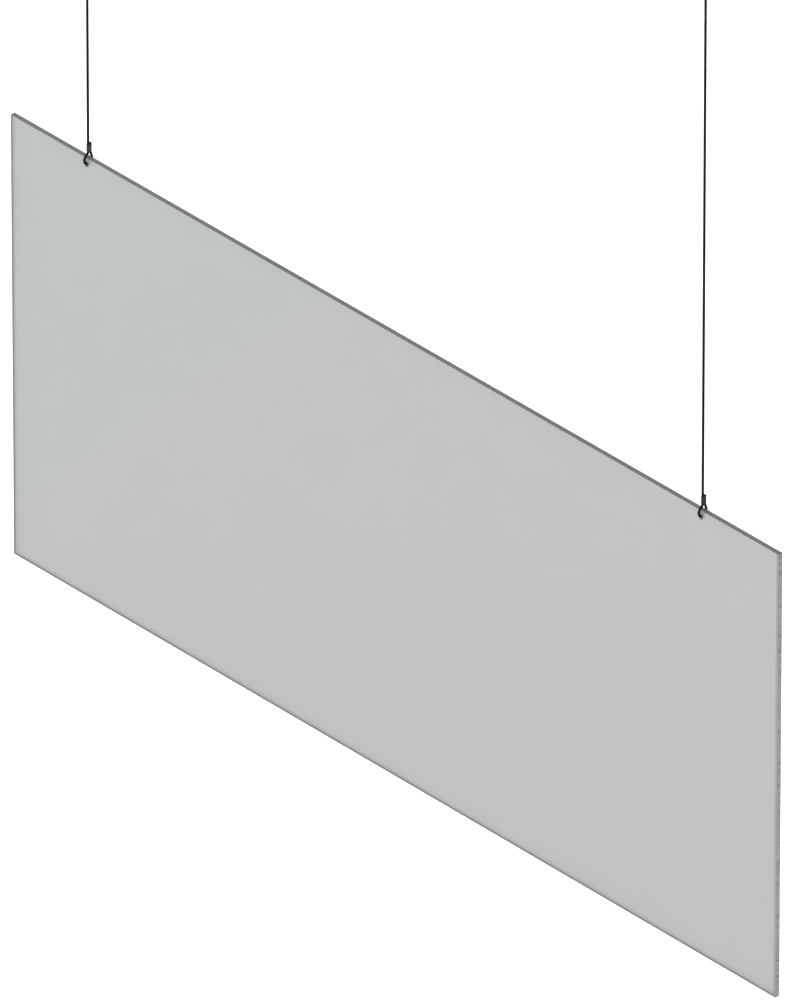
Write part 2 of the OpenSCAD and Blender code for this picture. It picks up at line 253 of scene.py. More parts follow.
ROPE_STRANDS = 6
CROWN_R = 1.6            # the strands' crowns lie this far from the rope's middle
ROPE_LAY = 21.0          # length of one turn of the strands
STRAND_STEPS = 7         # points across the crown of each strand
FREE_RINGS = 695         # rings of a free rope between its two bends
END_ANGLES = (75, 60, 45, 30, 15)   # rings of its half-ball ends, in degrees from the bend


def rope_outline(angle):
    """Radius of the rope's cross-section at an angle from a strand's crown: the outer side of six
    equal round strands that touch, each a third as wide as the rope over its crowns, with their
    middles twice their radius from its middle."""
    strand_r, middle_r = CROWN_R / 3, CROWN_R * 2 / 3
    half = math.pi / ROPE_STRANDS
    off = (angle + half) % (2 * half) - half
    hidden = (middle_r * np.sin(off)) ** 2
    return middle_r * np.cos(off) + np.sqrt(np.maximum(strand_r ** 2 - hidden, 0.0))


def laid_rope(name, centre, run, body, stands_for, start=0.0, thickness=1.0):
    """Stranded rope along centre points in millimetres. Each ring is the six-lobed outline times
    the thickness there, turned by one full turn for each lay length along the run, in a frame whose
    first axis is X and whose second is square to X and the route. UV: u counts the strands round
    the rope and v the lay lengths along it."""
    rows, around = len(centre), ROPE_STRANDS * STRAND_STEPS
    first = np.broadcast_to([1.0, 0, 0], centre.shape)
    second = np.cross(unit_tangents(centre), first)
    share = np.arange(around) / around
    radius = rope_outline(share * TAU) * np.broadcast_to(thickness, rows)[:, None]
    lays = (start + run) / ROPE_LAY
    turn = lays[:, None] * TAU + share[None, :] * TAU
    ring = np.cos(turn)[..., None] * first[:, None] + np.sin(turn)[..., None] * second[:, None]
    points, faces = closed_tube(centre[:, None] + ring * radius[..., None], centre[[0, -1]])
    i, k = (index.reshape(-1) for index in np.mgrid[0:rows - 1, 0:around])
    corner_u = np.stack([k, k, k + 1, k + 1], -1) / STRAND_STEPS
    corner_v = np.stack([lays[i], lays[i + 1], lays[i + 1], lays[i]], -1)
    quads = np.stack([corner_u, corner_v], -1).reshape(-1, 2)
    fans = np.zeros((around * 2 * 3, 2))
    return new_piece(name, points, faces, body, "wire_rope", stands_for, sharp=50,
                     corner_uv=np.concatenate([quads, fans]))


def free_rope(x):
    """Centre points of the free rope and its share of full thickness at each. Past the two points
    where it bends it ends in half a ball: its rings lie at the sine of an angle times its radius,
    and are the cosine of that angle as thick."""
    angle = np.radians(END_ANGLES)
    past, thinner = ROPE_D / 2 * np.sin(angle), np.cos(angle)
    between = np.linspace(UPPER_FLEX, LOWER_FLEX, FREE_RINGS)
    z = np.concatenate([UPPER_FLEX + past, between, LOWER_FLEX - past[::-1]])
    return (np.stack([np.full_like(z, x), np.zeros_like(z), z], -1),
            np.concatenate([thinner, np.ones_like(between), thinner[::-1]]))


ropes = {}               # for each side the free rope, tail and loop, as piece, points and run
for side in SIDES:
    x = ROPE_X[side]
    free_points, thickness = free_rope(x)
    free_run = free_points[0, 2] - free_points[:, 2]
    free = laid_rope(f"wire_rope_{side}", free_points, free_run, f"rope_{side}",
                     f"hanging_rope_{side}", thickness=thickness)
    tail_points, tail_run = smooth_route([[x, y, WINDOW_SILL + z] for y, z in TAIL_BEND])
    tail = laid_rope(f"rope_end_{side}", tail_points, -tail_run, f"gripper_{side}",
                     f"rope_tail_{side}")
    loop_points, loop_run = smooth_route([[x, y, SHEET_TOP + z] for y, z in LOOP_ROUTE])
    loop = laid_rope(f"rope_eye_{side}", loop_points, loop_run, f"loop_{side}",
                     f"rope_loop_{side}", start=free_run[-1])
    ropes[side] = ((free, free_points, free_run), (tail, tail_points, tail_run),
                   (loop, loop_points, loop_run))


# ---------------------------------------------------------------------------
# Ferrules
# ---------------------------------------------------------------------------

FERRULE_WALL, FERRULE_RIM = 0.45, 0.45     # wall, and height over which its rims are rounded
FERRULE_BORE = ROPE_D / 2 + 0.1
FERRULE_FLARE, FLARE_DEPTH = 0.15, 1.0     # how much wider its bore is at the top, and how deep
FERRULE_ROWS, FERRULE_ARC = 61, 25         # points up the wall, and round each half circle
RIM_WALL = 0.55                            # share of the wall's thickness left at its rims
DIE_MARKS, DIE_REACH, DIE_DEPTH = (2.4, 5.0, 7.6), 1.1, 0.17   # heights, half width and depth


def pressed_sleeve(name, side):
    """Oval sleeve: a closed wall profile carried round a stadium whose two middles are the two
    strands. The wall is thinner at the rims and rises to its full thickness along a quarter
    circle. Its outer side is drawn in by three die marks, each a raised cosine of the height, and
    its bore flares out at the top."""
    z = np.linspace(0, FERRULE_LEN, FERRULE_ROWS)
    from_rim = (1 - np.minimum(z, FERRULE_LEN - z) / FERRULE_RIM).clip(0)
    full = RIM_WALL + (1 - RIM_WALL) * np.sqrt(1 - from_rim ** 2)
    marks = sum(np.where(abs(z - mark) < DIE_REACH,
                         0.5 + 0.5 * np.cos((z - mark) / DIE_REACH * math.pi), 0)
                for mark in DIE_MARKS)
    outer = FERRULE_BORE + FERRULE_WALL * full - DIE_DEPTH * marks
    inner = [[FERRULE_BORE + FERRULE_FLARE, FERRULE_LEN],
             [FERRULE_BORE, FERRULE_LEN - FLARE_DEPTH], [FERRULE_BORE, 0]]
    profile = np.concatenate([np.stack([outer, z], -1), inner])
    rows, around = len(profile), 2 * FERRULE_ARC
    bend = np.linspace(0, math.pi, FERRULE_ARC)
    angle = np.concatenate([bend + math.pi, bend])
    middle_y = np.concatenate([np.zeros(FERRULE_ARC), np.full(FERRULE_ARC, STRAND_PITCH)])
    r = profile[:, None, 0]
    height = np.broadcast_to(FERRULE_TOP - FERRULE_LEN + profile[:, None, 1], (rows, around))
    points = np.stack([ROPE_X[side] + r * np.cos(angle), middle_y + r * np.sin(angle), height], -1)
    return new_piece(name, points.reshape(-1, 3), grid_faces(rows, around, row_wrap=True).tolist(),
                     f"loop_{side}", "ferrule_metal", f"ferrule_{side}", sharp=40)


ferrules = {side: pressed_sleeve(f"pressed_ferrule_{side}", side) for side in SIDES}


# ---------------------------------------------------------------------------
# Sheet
# ---------------------------------------------------------------------------

SQUARE_DROP = 0.8                # from the top edge to the square of lines around each hole
SQUARE_HALF = HOLE_DROP - SQUARE_DROP
SQUARE_STEPS = 8                 # cells along a side of that square
HOLE_RINGS = 5                   # rings from the hole out to the square, both included
SHEET_BORDER = 6                 # width of the outermost cells along the ends and the bottom
ARRIS, ARRIS_FROM = 0.35, math.radians(40)   # width of the broken edge, and angle from which


def drilled_sheet():
    """Flat net of the sheet at its middle plane, later thickened. A grid of straight lines whose
    cells around each hole are left out; there, rings blend from the hole's circle to the square of
    grid lines around it."""
    steps, half = SQUARE_STEPS, SQUARE_HALF
    low, high = sheet_low, sheet_high
    hole_z = SHEET_TOP - HOLE_DROP
    xs = [low[0], low[0] + SHEET_BORDER]
    for side, next_line in zip(SIDES, (0.0, high[0] - SHEET_BORDER)):
        xs += [*np.linspace(ROPE_X[side] - half, ROPE_X[side] + half, steps + 1), next_line]
    xs = np.array(xs + [high[0]])
    zs = np.array([low[2], low[2] + SHEET_BORDER, (low[2] + hole_z - half) / 2,
                   *np.linspace(hole_z - half, hole_z + half, steps + 1), high[2]])
    gx, gz = np.meshgrid(xs, zs)
    points = np.stack([gx, np.zeros_like(gx), gz], -1).reshape(-1, 3)
    faces = grid_faces(len(zs), len(xs), round_wrap=False)
    middle = points[faces].mean(1)
    near = np.any([abs(middle[:, 0] - ROPE_X[side]) < half for side in SIDES], 0)
    near &= abs(middle[:, 2] - hole_z) < half
    faces = faces[~near].tolist()
    line = np.linspace(-half, half, steps + 1)[:-1]
    edge = np.full(steps, half)
    square = np.concatenate([np.stack(pair, -1) for pair in
                             ((line, -edge), (edge, line), (-line, edge), (-edge, -line))])
    angle = np.arctan2(square[:, 1], square[:, 0])
    circle = HOLE_R * np.stack([np.cos(angle), np.sin(angle)], -1)
    share = np.linspace(0, 1, HOLE_RINGS)[:, None, None]
    rings = circle * (1 - share) + square * share
    for side in SIDES:
        patch = np.stack([ROPE_X[side] + rings[..., 0], np.zeros(rings.shape[:2]),
                          hole_z + rings[..., 1]], -1).reshape(-1, 3)
        faces += (grid_faces(HOLE_RINGS, len(square)) + len(points)).tolist()
        points = np.concatenate([points, patch])
    return points, faces


panel = new_piece("divider_sheet", *drilled_sheet(), "divider", "satin_sheet", "sheet", sharp=30)
thick = panel.modifiers.new("thickness", "SOLIDIFY")
thick.thickness, thick.offset = SHEET_T * MM, 0
thick.use_even_offset = True
thick.material_offset_rim = 1
arris = panel.modifiers.new("arris", "BEVEL")
arris.width, arris.segments = ARRIS * MM, 2
arris.limit_method, arris.angle_limit = "ANGLE", ARRIS_FROM
arris.harden_normals = True


# ---------------------------------------------------------------------------
# Ceiling fixings and grippers
# ---------------------------------------------------------------------------

COPY_MERGE = 2e-6        # points of a copied solid closer than this are one, in metres
COPY_EDGE = 0.2          # width of the bevel on the copied solids
# Angles up to which faces of a copied solid are one, are smooth together and keep their edge
COPY_FLAT, COPY_SMOOTH, COPY_BEVEL = math.radians(0.5), math.radians(30), math.radians(35)


def copy_of_node(node, name, body):
    """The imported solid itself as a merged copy, with its edges eased by a bevel."""
    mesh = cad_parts[node].data.copy()
    mesh.name = name
    shape = bmesh.new()
    shape.from_mesh(mesh)
    bmesh.ops.remove_doubles(shape, verts=shape.verts, dist=COPY_MERGE)
    bmesh.ops.dissolve_limit(shape, angle_limit=COPY_FLAT, verts=shape.verts, edges=shape.edges)
    shape.to_mesh(mesh)
    shape.free()
    mesh.materials.clear()
    piece = in_scene(name, mesh)
    mesh.shade_smooth()
    mesh.set_sharp_from_angle(angle=COPY_SMOOTH)
    ease = piece.modifiers.new("eased_edges", "BEVEL")
    ease.width, ease.segments = COPY_EDGE * MM, 2
    ease.limit_method, ease.angle_limit = "ANGLE", COPY_BEVEL
    ease.use_clamp_overlap = True
    ease.harden_normals = True
    return given_place(piece, body, node)


KNURL_FADE = 0.8         # height over which a knurl fades in
KNURL_INSIDE = 5.5       # no knurl on surfaces with less radius, such as the barrel's bore


def knurl(low, high, depth, teeth):
    """Straight knurl between two heights: the radius drops by depth times the square of a cosine
    of half the angle times the number of teeth, faded in at both heights."""
    def ripple(angle, r, z):
        fade = np.clip((z - low) / KNURL_FADE, 0, 1) * np.clip((high - z) / KNURL_FADE, 0, 1)
        return -depth * fade * np.cos(angle * teeth / 2) ** 2 * (r > KNURL_INSIDE)
    return ripple


def with_rows(profile, count):
    """Profile with extra points, evenly spaced, along its outer wall: the side whose two ends both
    have the largest radius."""
    p = np.asarray(profile, float)
    after = np.roll(p, -1, 0)
    outer = p[:, 0].max()
    i = int(np.argmax(np.minimum(p[:, 0], after[:, 0]) > outer - SAME_R))
    z = np.linspace(p[i, 1], after[i, 1], count + 2)[1:-1]
    return np.insert(p, i + 1, np.stack([np.full(count, outer), z], -1), 0)


# Stud: radii, heights from the ceiling plane and shares
FOOT_R, FOOT_Z, FOOT_BREAK = 2.5, -8.4, 0.3
SHANK_R = 2.25
THREAD_START, THREAD_LEN, THREAD_PITCH = 8.0, 22.0, 2.0
THREAD_CORE, THREAD_CREST = 1.7, 2.5       # radii
RIDGE_HALF, RIDGE_POWER = 0.4, 1.2         # half the ridge's width in pitches, and how hollow it is
RIDGE_IN, RIDGE_OUT = 2, 5                 # heights over which the ridge fades in and out
TIP_Z = THREAD_START + THREAD_LEN + 4
TIP_BARE, TIP_OPEN = 0.6, 0.3              # below the point: where the ridge and the rows end
TIP_TAPER, TIP_BLUNT = 4.6, 0.02           # height of the core's taper, and share that it keeps
STUD_AROUND, STUD_ROW = 40, 0.125          # points round the stud, and height between two rows
# Lower part of the stud as [r, z], from its foot in the plate up to where the wood thread begins
STUD_FOOT = [
    [0, FOOT_Z], [FOOT_R - FOOT_BREAK, FOOT_Z], [FOOT_R, FOOT_Z + FOOT_BREAK],
    [FOOT_R, -FOOT_BREAK], [FOOT_R, 0], [SHANK_R, 0], [SHANK_R, THREAD_START / 2],
    [SHANK_R, THREAD_START - 0.25], [1.9, THREAD_START - 0.02],
]


def wood_thread(side):
    """Stud: rings of its foot, then rows whose radius is the core plus a ridge. The ridge is a
    triangle, raised to a power, of the height in pitches less the angle's share of a turn. It fades
    in at the foot and out at the point, where the core tapers."""
    foot = np.array(STUD_FOOT)
    z = np.arange(THREAD_START, TIP_Z - TIP_OPEN, STUD_ROW)
    angle = np.arange(STUD_AROUND) * TAU / STUD_AROUND
    phase = ((z[:, None] - THREAD_START) / THREAD_PITCH - angle / TAU) % 1
    ridge = np.clip(1 - abs(phase - RIDGE_HALF) / RIDGE_HALF, 0, 1) ** RIDGE_POWER
    fade = (np.clip((z - THREAD_START) / RIDGE_IN, 0, 1)
            * np.clip((TIP_Z - TIP_BARE - z) / RIDGE_OUT, 0, 1))
    core = THREAD_CORE * np.minimum(1, (TIP_Z - z) / TIP_TAPER + TIP_BLUNT)
    radius = core[:, None] + (THREAD_CREST - THREAD_CORE) * ridge * fade[:, None]
    radius = np.concatenate([np.repeat(foot[:, :1], STUD_AROUND, 1), radius,
                             np.zeros((1, STUD_AROUND))])
    height = np.concatenate([foot[:, 1], z, [TIP_Z]])
    points = np.stack([ROPE_X[side] + radius * np.cos(angle), radius * np.sin(angle),
                       np.broadcast_to(height[:, None], radius.shape)], -1).reshape(-1, 3)
    return new_piece(f"hanger_stud_{side}", points, grid_faces(len(height), STUD_AROUND).tolist(),
                     "ceiling_fixings", "zinc_stud", f"ceiling_stud_{side}", sharp=30)


SPRING_WIRE_R, SPRING_R, SPRING_TURNS = 0.35, 4.35, 5
SPRING_LOW, SPRING_HIGH = -55.36, -46.5
SPRING_SLOW = 0.12                         # share of the rise that goes on in the closed end turns
SPRING_CLOSED = 0.08                       # share of the turns at each end that lies nearly level
SPRING_STEPS, WIRE_AROUND = 40, 12         # rings in each turn, and points round the wire


def coil_spring(side):
    """Helical spring: a round wire carried along a helix. A small part of its rise follows the
    share of the turns, and the rest follows the same share with the closed ends left out, so that
    the first and last turns are closed up and nearly level."""
    t = np.linspace(0, SPRING_TURNS, SPRING_TURNS * SPRING_STEPS + 1)
    share = t / SPRING_TURNS
    rise = np.clip((share - SPRING_CLOSED) / (1 - 2 * SPRING_CLOSED), 0, 1)
    rise = rise * (1 - SPRING_SLOW) + share * SPRING_SLOW
    out = np.stack([np.cos(t * TAU), np.sin(t * TAU), np.zeros_like(t)], -1)
    centre = SPRING_R * out
    centre[:, 2] = SPRING_LOW + (SPRING_HIGH - SPRING_LOW) * rise
    up = np.cross(unit_tangents(centre), out)
    angle = np.arange(WIRE_AROUND) * TAU / WIRE_AROUND
    wire = (np.cos(angle)[None, :, None] * out[:, None]
            + np.sin(angle)[None, :, None] * up[:, None])
    centre[:, 0] += ROPE_X[side]
    points, faces = closed_tube(centre[:, None] + SPRING_WIRE_R * wire, centre[[0, -1]])
    return new_piece(f"release_spring_{side}", points, faces, f"gripper_{side}", "spring_steel",
                     f"plunger_spring_{side}", sharp=50)


# Fittings: radii, and heights from the ceiling plane
EDGE_BREAK = 0.6
PLATE_R, PLATE_T, PLATE_BORE = 12, 3, 2.6
SPIGOT_R, SPIGOT_Z = 7, -9
CAP_R, CAP_RIM = 10, 1                     # the cap's radius, and the bevel on its lower edge
CAP_TOP_Z, CAP_BOTTOM_Z = -3.3, -23
CAP_BORE, CAP_BORE_Z = 7.1, -9.3           # the thread that takes the spigot, and where it ends
MOUTH_R, MOUTH_FLARE, MOUTH_Z = 4.7, 0.6, -21.04
SEAT_R, BALL_Z = 6.2, -17
SEAT_FROM, SEAT_POINTS = math.radians(-40.7), 9   # lower end of the seat as seen from its middle
GRIPPER_R = 7
BARREL_TOP_Z, BARREL_BOTTOM_Z = -41, -69
BARREL_BORE, CONE_TOP_Z = 5.2, -57.46      # bore around the spring, and where its cone begins
CONE_END_R, CONE_END_Z = 4, -66
TUBE_HOLE = 3.7                            # hole for the plunger's tube

# Their closed outlines as [r, z]
PLATE = [
    [PLATE_BORE, 0], [PLATE_R, 0], [PLATE_R, EDGE_BREAK - PLATE_T],
    [PLATE_R - EDGE_BREAK, -PLATE_T], [SPIGOT_R, -PLATE_T], [SPIGOT_R, SPIGOT_Z + EDGE_BREAK],
    [SPIGOT_R - EDGE_BREAK, SPIGOT_Z], [PLATE_BORE, SPIGOT_Z],
]
SEAT = [[SEAT_R * math.cos(a), BALL_Z + SEAT_R * math.sin(a)]
        for a in np.linspace(SEAT_FROM, 0, SEAT_POINTS)[1:]]
CAP = [
    [CAP_BORE, CAP_TOP_Z], [CAP_R, CAP_TOP_Z], [CAP_R, CAP_BOTTOM_Z + CAP_RIM],
    [CAP_R - CAP_RIM, CAP_BOTTOM_Z], [MOUTH_R + MOUTH_FLARE, CAP_BOTTOM_Z], [MOUTH_R, MOUTH_Z],
    *SEAT, [SEAT_R, CAP_BORE_Z], [CAP_BORE, CAP_BORE_Z],
]
BARREL = [
    [BARREL_BORE, BARREL_TOP_Z], [GRIPPER_R, BARREL_TOP_Z],
    [GRIPPER_R, BARREL_BOTTOM_Z + EDGE_BREAK], [GRIPPER_R - EDGE_BREAK, BARREL_BOTTOM_Z],
    [TUBE_HOLE, BARREL_BOTTOM_Z], [TUBE_HOLE, CONE_END_Z], [CONE_END_R, CONE_END_Z],
    [BARREL_BORE, CONE_TOP_Z],
]

PLATE_AROUND, CAP_AROUND, BARREL_AROUND = 128, 288, 216   # points round each

plate_profile = eased(PLATE, radius=0.25)
cap_profile = with_rows(eased(CAP, radius=0.3), count=40)
barrel_profile = with_rows(eased(BARREL, radius=0.3), count=60)
cap_knurl = knurl(low=-20.5, high=-15.5, depth=0.22, teeth=96)
barrel_knurl = knurl(low=-66.5, high=-60.5, depth=0.2, teeth=72)

metal = []               # pairs of a piece and its finish
for side in SIDES:
    x, gripper = ROPE_X[side], f"gripper_{side}"
    disc = new_piece(f"ceiling_disc_{side}", *turned(plate_profile, PLATE_AROUND, x),
                     "ceiling_fixings", "plated_fitting", f"ceiling_plate_{side}")
    cap = new_piece(f"ball_cap_{side}", *turned(cap_profile, CAP_AROUND, x, cap_knurl),
                    "ceiling_fixings", "plated_fitting", f"ceiling_cap_{side}")
    stud = wood_thread(side)
    head = copy_of_node(f"gripper_head_{side}", f"swivel_head_{side}", gripper)
    barrel = new_piece(f"grip_barrel_{side}",
                       *turned(barrel_profile, BARREL_AROUND, x, barrel_knurl),
                       gripper, "plated_fitting", f"gripper_barrel_{side}")
    button = copy_of_node(f"release_plunger_{side}", f"release_button_{side}",
                          f"plunger_{side}")
    spring = coil_spring(side)
    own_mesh(spring)
    metal += [(disc, "plated"), (cap, "plated"), (stud, "zinc"), (head, "plated"),
              (barrel, "plated"), (button, "button"), (spring, "spring")]


# ---------------------------------------------------------------------------
# Shader nodes
# ---------------------------------------------------------------------------

def node_group(name, inputs, outputs):
    """Empty shader group with float inputs {name: default} and outputs {name: socket type}."""
    group = bpy.data.node_groups.new(name, "ShaderNodeTree")
    for label, value in inputs.items():
        socket = group.interface.new_socket(label, in_out="INPUT", socket_type="NodeSocketFloat")
        socket.default_value = value
    for label, kind in outputs.items():
        group.interface.new_socket(label, in_out="OUTPUT", socket_type=kind)
    return group, group.nodes.new("NodeGroupInput"), group.nodes.new("NodeGroupOutput")


def feed(tree, socket, value):
    """Links the socket to a value that is a socket, or else sets it."""
    if isinstance(value, bpy.types.NodeSocket):
        tree.links.new(value, socket)
    else:
        socket.default_value = value


def maths(tree, operation, *values):
    """Output of a Math node over the values, which are numbers or sockets."""
    node = tree.nodes.new("ShaderNodeMath")
    node.operation = operation
    for socket, value in zip(node.inputs, values):
        feed(tree, socket, value)
    return node.outputs[0]


def object_point(tree, scale=(1, 1, 1), rotation=(0, 0, 0)):
    """Object coordinates through a Mapping node."""
    coordinates = tree.nodes.new("ShaderNodeTexCoord")
    mapping = tree.nodes.new("ShaderNodeMapping")
    mapping.inputs["Scale"].default_value = scale
    mapping.inputs["Rotation"].default_value = rotation
    tree.links.new(coordinates.outputs["Object"], mapping.inputs["Vector"])
    return mapping.outputs[0]


def components(tree, vector):
    """The three components of a vector."""
    parts = tree.nodes.new("ShaderNodeSeparateXYZ")
    tree.links.new(vector, parts.inputs[0])
    return parts.outputs


def noise(tree, detail, size=1.0, scale=(1, 1, 1), rotation=(0, 0, 0)):
    """Factor of a Noise node of this size over Object coordinates with this scale and rotation."""
    node = tree.nodes.new("ShaderNodeTexNoise")
    tree.links.new(object_point(tree, scale, rotation), node.inputs["Vector"])
    feed(tree, node.inputs["Scale"], size)
    node.inputs["Detail"].default_value = detail
    return node.outputs["Fac"]


def spread(tree, value, start, end):
    """Value mapped smoothly from the range start to the range end, each a pair of numbers."""
    node = tree.nodes.new("ShaderNodeMapRange")
    node.interpolation_type = "SMOOTHSTEP"
    tree.links.new(value, node.inputs["Value"])
    for label, number in zip(("From Min", "From Max", "To Min", "To Max"), (*start, *end)):
        node.inputs[label].default_value = number
    return node.outputs[0]


FULL = (0, 1)
FADING = (1, 0)
NOISE_SPAN = (0.3, 0.7)              # between these a noise's factor mostly lies


MIX_A, MIX_B, MIX_COLOUR = 6, 7, 2   # the colour sockets of a Mix node


def blend_colours(tree, share, first, second):
    """Colour between first and second by the share."""
    node = tree.nodes.new("ShaderNodeMix")
    node.data_type = "RGBA"
    tree.links.new(share, node.inputs["Factor"])
    for index, value in ((MIX_A, first), (MIX_B, second)):
        is_socket = isinstance(value, bpy.types.NodeSocket)
        feed(tree, node.inputs[index], value if is_socket else (*value, 1))
    return node.outputs[MIX_COLOUR]


def blend_shaders(tree, share, first, second):
    """Shader between first and second by the share."""
    node = tree.nodes.new("ShaderNodeMixShader")
    for socket, value in zip(node.inputs, (share, first, second)):
        tree.links.new(value, socket)
    return node.outputs[0]


def finish_material(name):
    """New material with a Principled shader. Returns the material, its tree and the shader."""
    material = bpy.data.materials.new(name)
    material.use_nodes = True
    tree = material.node_tree
    return material, tree, tree.nodes["Principled BSDF"]


def bump(tree, height, strength, distance):
    """Normal of a Bump node over the height."""
    node = tree.nodes.new("ShaderNodeBump")
    node.inputs["Strength"].default_value = strength
    node.inputs["Distance"].default_value = distance
    tree.links.new(height, node.inputs["Height"])
    return node.outputs[0]


# ---------------------------------------------------------------------------
# Finishes of metal
# ---------------------------------------------------------------------------

SMUDGE_SPAN, SCRATCH_SPAN = (0.35, 0.7), (0.66, 0.74)   # noise in which each mark grows to full
SCRATCH_ROUGH, SCRATCH_DEPTH = 0.12, -0.3  # what a scratch adds to the roughness and to the height
TURNING_RINGS = (12, 12, 9000)             # scale of the fine rings: thin along the axis


def handling_group():
    """Marks of handling on metal: soft smudges and short fine scratches, as masks from 0 to 1."""
    group, given, made = node_group(
        "handling_marks", {"Smudge Scale": 120.0, "Scratch Scale": 700.0},
        {"Smudge": "NodeSocketFloat", "Scratch": "NodeSocketFloat"})
    smudge = noise(group, detail=5, size=given.outputs["Smudge Scale"])
    lines = noise(group, detail=2, size=given.outputs["Scratch Scale"], scale=(1, 0.06, 1),
                  rotation=(0.5, 0.9, 0.3))
    group.links.new(spread(group, smudge, SMUDGE_SPAN, FULL), made.inputs["Smudge"])
    group.links.new(spread(group, lines, SCRATCH_SPAN, FULL), made.inputs["Scratch"])
    return group


handling = handling_group()


def metal_finish(name, bright, dull, rough, rough_dull, turning):
    """Metal whose colour goes from bright to dull in the smudges, with scratches and the fine rings
    that turning leaves, as high as turning says."""
    material, tree, shader = finish_material(name)
    marks = tree.nodes.new("ShaderNodeGroup")
    marks.node_tree = handling
    smudge, scratch = marks.outputs["Smudge"], marks.outputs["Scratch"]
    tree.links.new(blend_colours(tree, smudge, bright, dull), shader.inputs["Base Color"])
    shader.inputs["Metallic"].default_value = 1.0
    roughness = maths(tree, "ADD", spread(tree, smudge, FULL, (rough, rough_dull)),
                      maths(tree, "MULTIPLY", scratch, SCRATCH_ROUGH))
    tree.links.new(roughness, shader.inputs["Roughness"])
    rings = noise(tree, detail=2, scale=TURNING_RINGS)
    height = maths(tree, "ADD", maths(tree, "MULTIPLY", rings, turning),
                   maths(tree, "MULTIPLY", scratch, SCRATCH_DEPTH))
    tree.links.new(bump(tree, height, strength=0.35, distance=0.00004), shader.inputs["Normal"])
    return material


plated = metal_finish(
    "satin_nickel_plate", bright=(0.34, 0.333, 0.318), dull=(0.25, 0.244, 0.232),
    rough=0.32, rough_dull=0.46, turning=0.8)
button_steel = metal_finish(
    "turned_button_steel", bright=(0.33, 0.33, 0.325), dull=(0.24, 0.24, 0.235),
    rough=0.34, rough_dull=0.48, turning=1.2)
zinc = metal_finish(
    "bright_zinc_plate", bright=(0.38, 0.39, 0.41), dull=(0.26, 0.265, 0.26),
    rough=0.36, rough_dull=0.55, turning=0.3)
spring_wire = metal_finish(
    "drawn_spring_wire", bright=(0.30, 0.30, 0.31), dull=(0.18, 0.18, 0.18),
    rough=0.3, rough_dull=0.45, turning=0.2)
ball_polish = metal_finish(
    "polished_ball_steel", bright=(0.55, 0.55, 0.55), dull=(0.45, 0.45, 0.45),
    rough=0.08, rough_dull=0.16, turning=0.0)
ferrule_black = metal_finish(
    "blackened_ferrule", bright=(0.050, 0.051, 0.052), dull=(0.028, 0.028, 0.029),
    rough=0.40, rough_dull=0.56, turning=0.4)

# Blackened rope, and its lighter crowns: partly rubbed wear, partly a painted highlight along each
# wire
ROPE_DARK, ROPE_RUBBED_HIGHLIGHT = (0.002, 0.002, 0.0022), (0.020, 0.020, 0.021)
ROPE_ROUGH = (0.62, 0.4)                   # in the grooves and on the crowns
WIRES_ACROSS, WIRES_ALONG = 3.0, 18.0      # wires across one strand, and along one lay length
CROWN_SPAN = (0.1, 0.5)                    # the crown fades between these shares of a strand
DUST_SPAN, DUST_LEFT = (0.4, 0.75), (0.25, 1)   # noise of the dust, and share of the rubbing left


def rope_finish():
    """Blackened wire rope: fine wires that cross each strand against its lay, dull in the grooves
    and lighter on the crowns, partly from rubbed wear and partly as a painted highlight along each
    wire."""
    material, tree, shader = finish_material("blackened_wire_rope")
    lay = tree.nodes.new("ShaderNodeUVMap")
    lay.uv_map = "lay"
    strands, lays, _ = components(tree, lay.outputs[0])
    across = maths(tree, "FRACT", strands)
    slant = maths(tree, "ADD", maths(tree, "MULTIPLY", across, WIRES_ACROSS),
                  maths(tree, "MULTIPLY", lays, WIRES_ALONG))
    wires = maths(tree, "ABSOLUTE", maths(tree, "SINE", maths(tree, "MULTIPLY", slant, math.pi)))
    off_crown = maths(tree, "ABSOLUTE", maths(tree, "SUBTRACT", across, 0.5))
    crown = spread(tree, off_crown, CROWN_SPAN, FADING)
    dust = noise(tree, detail=4, scale=(260, 260, 260))
    # Lighter crowns: partly rubbed wear, partly a painted highlight along each wire
    rubbed_and_highlight = maths(tree, "MULTIPLY", maths(tree, "MULTIPLY", crown, wires),
                   spread(tree, dust, DUST_SPAN, DUST_LEFT))
    tree.links.new(blend_colours(tree, rubbed_and_highlight, ROPE_DARK, ROPE_RUBBED_HIGHLIGHT), shader.inputs["Base Color"])
    shader.inputs["Metallic"].default_value = 0.3
    shader.inputs["Specular IOR Level"].default_value = 0.12
    tree.links.new(spread(tree, rubbed_and_highlight, FULL, ROPE_ROUGH), shader.inputs["Roughness"])
    tree.links.new(bump(tree, wires, strength=0.6, distance=0.00008), shader.inputs["Normal"])
    return material


# ---------------------------------------------------------------------------
# Finishes of the sheet
# ---------------------------------------------------------------------------

ACRYLIC_IOR = 1.49
SHEET_GREY = (0.5125, 0.520, 0.515)
# Cool tint of the painted reflection on the face's upper left
SHEET_REFLECTION_TINT = (0.493, 0.520, 0.5205)
# Painted shade of the face's rim along the ends and the bottom
SHEET_RIM_SHADE = (0.25, 0.254, 0.252)
MOTTLE_LIGHT = 1.012                       # how much lighter the lightest mottles are
FACE_ROUGH, EDGE_ROUGH = (0.42, 0.47), (0.5, 0.62)
# How far the face goes towards the painted rim shade along the ends and the bottom
RIM_SHADE_ENDS, RIM_SHADE_BOTTOM = 0.75, 0.85
# Where that starts, counted from the edge, and over what width it grows, in metres
RIM_REACH, RIM_FADE = 0.0042, 0.0018
# Border of the painted reflection, a cool cast on the face: its slope, how far it lies below the
# ceiling at X = 0, its width and how far the noise moves it, in metres
REFLECTION_SLOPE, REFLECTION_FROM, REFLECTION_FADE, REFLECTION_DRIFT = 1.09, 0.636, 0.03, 0.07
REFLECTION_LEFT = (-0.6, -0.58)                  # the cast begins between these places, in metres


